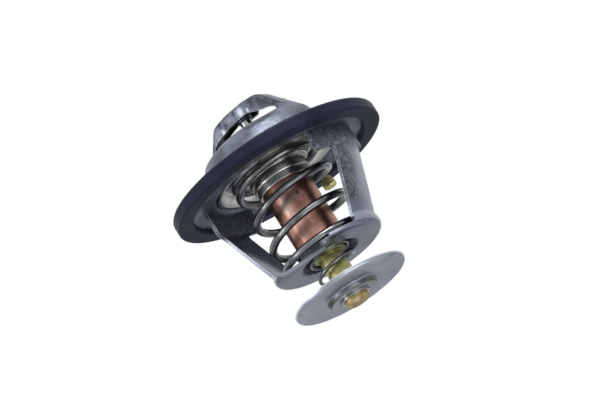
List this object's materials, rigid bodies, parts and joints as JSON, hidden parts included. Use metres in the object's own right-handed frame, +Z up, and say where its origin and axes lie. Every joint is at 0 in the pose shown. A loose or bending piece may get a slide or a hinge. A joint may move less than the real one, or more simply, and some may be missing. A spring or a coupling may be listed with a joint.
{
  "type": "engine thermostat",
  "caption": "Wax-element engine thermostat with a rubber-ringed flange, a pressed bridge, a main spring and a sprung bypass disc.",
  "frame": {"origin": "centre of the gasket, on the valve's axis, half way up the gasket's height", "axes": "+Z up the valve's axis from the bypass disc to the strap, X along the strap and through both legs of the bridge, +Y towards the jiggle pin"},
  "size_m": [0.067, 0.067, 0.0674],
  "materials": {
    "stamped_steel": "satin",
    "bridge_steel": "satin",
    "plate_steel": "polished",
    "spring_steel": "polished",
    "ground_steel": "ground",
    "gasket_rubber": "matte",
    "inner_rubber": "matte",
    "copper": "matte",
    "brass": "turned",
    "wax": "matte",
    "washer_plastic": "matte"
  },
  "bodies": {
    "frame": {"upper_housing": "stamped_steel", "flange_gasket": "gasket_rubber", "lower_bridge": "bridge_steel", "piston": "ground_steel", "main_spring": "spring_steel"},
    "capsule": {"valve_plate": "plate_steel", "plate_retaining_ring": "spring_steel", "crimp_collar": "plate_steel", "capsule_cup": "copper", "piston_guide": "brass", "guide_seal": "inner_rubber", "backup_washer": "washer_plastic", "rubber_sleeve": "inner_rubber", "wax_charge": "wax", "bypass_rod": "brass", "bypass_retaining_ring": "spring_steel", "bypass_spring": "spring_steel"},
    "bypass_valve": {"bypass_disc": "plate_steel"},
    "jiggle": {"jiggle_pin": "brass"}
  },
  "joints": [
    {"name": "valve_lift", "type": "slide", "parent": "frame", "child": "capsule", "axis": [0, 0, -1], "range_m": [0, 0.008], "stiffness_N_per_m": 8000, "springref_m": -0.012, "deforming": ["main_spring"]},
    {"name": "bypass_lift", "type": "slide", "parent": "capsule", "child": "bypass_valve", "axis": [0, 0, 1], "range_m": [0, 0.005], "stiffness_N_per_m": 1500, "springref_m": -0.003, "deforming": ["bypass_spring"]},
    {"name": "jiggle_lift", "type": "slide", "parent": "frame", "child": "jiggle", "axis": [0, 0, 1], "range_m": [0, 0.0025]}
  ]
}
